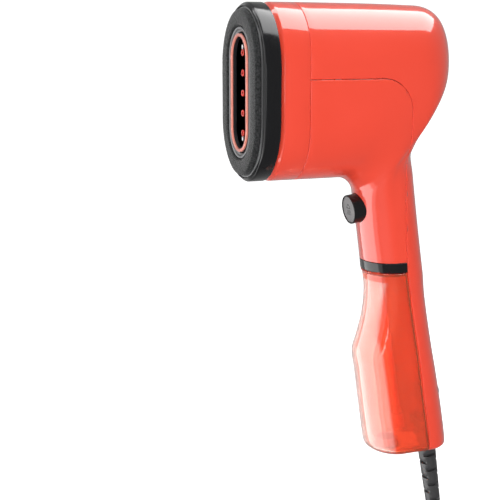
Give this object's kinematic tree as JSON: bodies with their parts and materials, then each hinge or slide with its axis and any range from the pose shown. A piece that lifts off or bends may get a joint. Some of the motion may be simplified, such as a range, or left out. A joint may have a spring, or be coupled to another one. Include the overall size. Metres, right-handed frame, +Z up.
{
  "type": "garment steamer",
  "caption": "Handheld garment steamer with an oval steam head, a clip-on velvet pad, a slide-off water tank, a steam trigger and a hanked mains cord.",
  "frame": {"origin": "the middle of the handle, where the hand closes round it", "axes": "+Z up along the upright head, the steam face looks along -Y, +X to the side; the part is symmetric about X = 0"},
  "size_m": [0.069, 0.1896, 0.6119],
  "materials": {
    "coral_gloss": "smooth high gloss moulded casing, coral",
    "black_gloss": "high gloss black moulding",
    "black_satin": "satin black moulding",
    "grey_plastic": "satin grey moulding",
    "velvet": "short pile velvet, charcoal",
    "spring_steel": "bright steel",
    "coral_pale": "glossy coral trim",
    "plate_grey": "grey non-stick coating, satin",
    "insert_red": "red moulded insert",
    "silicone": "translucent white silicone",
    "cast_alu": "die-cast aluminium",
    "seal_red": "red silicone seal",
    "heater": "heat-tinted tube",
    "ceramic": "ceramic and phenolic body",
    "brass_part": "brass",
    "copper_wire": "lacquered copper winding",
    "white_plastic": "white technical plastic",
    "tank_clear": "clear coral-tinted plastic",
    "rubber_black": "black rubber",
    "board_green": "green circuit board",
    "cord_black": "black cord sheath",
    "pin_metal": "nickel-plated brass"
  },
  "bodies": {
    "housing": {"front_collar": "coral_gloss", "rear_shell": "coral_gloss", "front_shell": "coral_gloss", "bezel": "black_gloss", "plate_frame": "black_satin", "steam_ring": "coral_pale", "steam_plate": "plate_grey", "hole_inserts": "insert_red", "plate_screws": "spring_steel", "plate_gasket": "silicone", "steam_manifold": "cast_alu", "steam_hose": "silicone", "boiler_body": "cast_alu", "boiler_lid": "cast_alu", "boiler_gasket": "seal_red", "boiler_screws": "spring_steel", "heating_element": "heater", "boiler_bracket": "spring_steel", "thermostat": "ceramic", "thermal_fuse": "brass_part", "pump_coil": "copper_wire", "pump_barrel": "white_plastic", "pump_cradle": "rubber_black", "check_valve": "white_plastic", "water_pipe": "silicone", "trigger_guide": "black_satin", "trigger_spring": "spring_steel", "microswitch": "black_satin", "circuit_board": "board_green", "board_parts": "black_satin", "tank_band": "black_satin", "tank_dock": "black_satin", "power_switch": "black_satin", "cord_clamp": "black_satin", "casing_screws": "spring_steel", "inner_cord": "cord_black", "strain_relief": "cord_black", "cord_lead": "cord_black", "cord_hank": "cord_black", "hank_tie": "rubber_black", "cord_tail": "cord_black", "mains_plug": "rubber_black", "plug_pins": "pin_metal"},
    "pad": {"pad_carrier": "grey_plastic", "velvet_pad": "velvet", "pad_clips": "spring_steel"},
    "trigger": {"trigger_button": "black_gloss", "trigger_face": "grey_plastic"},
    "plunger": {"switch_plunger": "insert_red"},
    "piston": {"pump_piston": "spring_steel"},
    "tank": {"water_tank": "tank_clear", "pickup_tube": "silicone", "tank_filter": "grey_plastic", "dock_seal": "rubber_black"},
    "valve": {"tank_valve": "insert_red"},
    "filler_plug": {"tank_plug": "rubber_black"},
    "power": {"power_button": "black_gloss"}
  },
  "joints": [
    {"name": "pad_off", "type": "slide", "parent": "housing", "child": "pad", "axis": [0, -1, 0], "range_m": [0, 0.03]},
    {"name": "trigger_press", "type": "slide", "parent": "housing", "child": "trigger", "axis": [0, 0.9889, 0.1483], "range_m": [0, 0.0025], "stiffness_N_per_m": 900, "springref_m": -0.001, "deforming": ["trigger_spring"]},
    {"name": "plunger_press", "type": "slide", "parent": "housing", "child": "plunger", "axis": [0, 0.9889, 0.1483], "range_m": [0, 0.0025]},
    {"name": "pump_stroke", "type": "slide", "parent": "housing", "child": "piston", "axis": [0, 1, 0], "range_m": [-0.0015, 0.0015], "stiffness_N_per_m": 300},
    {"name": "tank_off", "type": "slide", "parent": "housing", "child": "tank", "axis": [0, 0.1657, -0.9862], "range_m": [0, 0.04]},
    {"name": "valve_close", "type": "slide", "parent": "tank", "child": "valve", "axis": [0, -0.1657, 0.9862], "range_m": [0, 0.001]},
    {"name": "filler_pull", "type": "slide", "parent": "tank", "child": "filler_plug", "axis": [0, 0, -1], "range_m": [0, 0.012]},
    {"name": "power_press", "type": "slide", "parent": "housing", "child": "power", "axis": [0, -0.9848, -0.1736], "range_m": [0, 0.0012], "stiffness_N_per_m": 900, "springref_m": -0.0008}
  ],
  "couplings": [
    {"joint": "plunger_press", "follows": "trigger_press", "ratio": 1}
  ]
}
